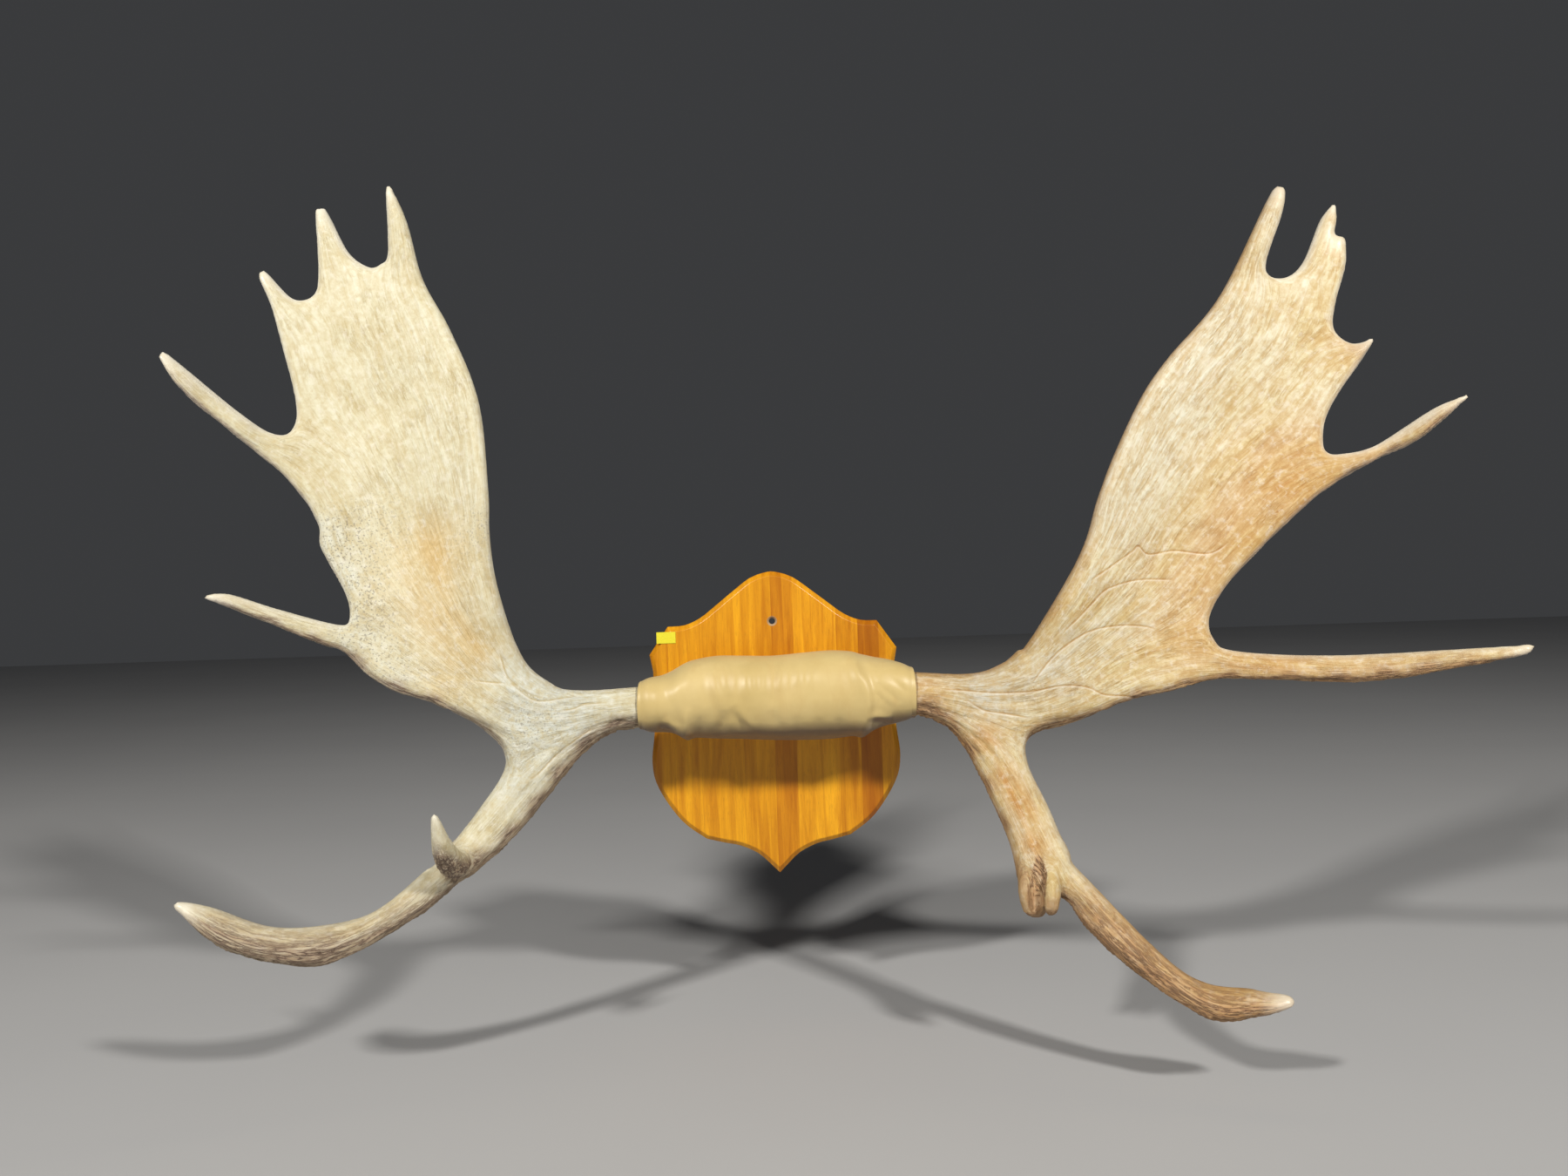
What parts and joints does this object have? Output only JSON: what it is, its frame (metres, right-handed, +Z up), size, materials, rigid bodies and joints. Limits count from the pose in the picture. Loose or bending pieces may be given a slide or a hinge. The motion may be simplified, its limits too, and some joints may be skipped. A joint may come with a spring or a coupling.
{
  "type": "mounted moose antlers",
  "caption": "Broad palmated moose antlers joined by a leather-wrapped skull plate on a wooden shield that hangs flat on a wall.",
  "frame": {"origin": "on the flat back face of the wooden shield, at its middle, where it rests against the wall", "axes": "+X to the viewer's right, +Y into the wall, +Z up; the viewer stands on the -Y side"},
  "size_m": [1.335, 0.2846, 0.8454],
  "materials": {
    "varnished_wood": "glossy varnish over edge-glued staves",
    "skull_bone": "dry bone, hidden under the leather",
    "buckskin": "soft satin buckskin over filler",
    "screw_steel": "bright zinc",
    "label_paper": "blank matt paper label",
    "left_antler_bone": "pale ivory antler, satin, with pored and grooved patches",
    "right_antler_bone": "caramel antler, satin, with pale streaks and polished tips"
  },
  "bodies": {
    "root": {"shield_board": "varnished_wood", "skull_plate": "skull_bone", "leather_cover": "buckskin", "left_back_screw": "screw_steel", "right_back_screw": "screw_steel", "lot_label": "label_paper", "left_beam": "left_antler_bone", "left_palm": "left_antler_bone", "left_brow": "left_antler_bone", "right_beam": "right_antler_bone", "right_palm": "right_antler_bone", "right_brow": "right_antler_bone"}
  },
  "joints": []
}
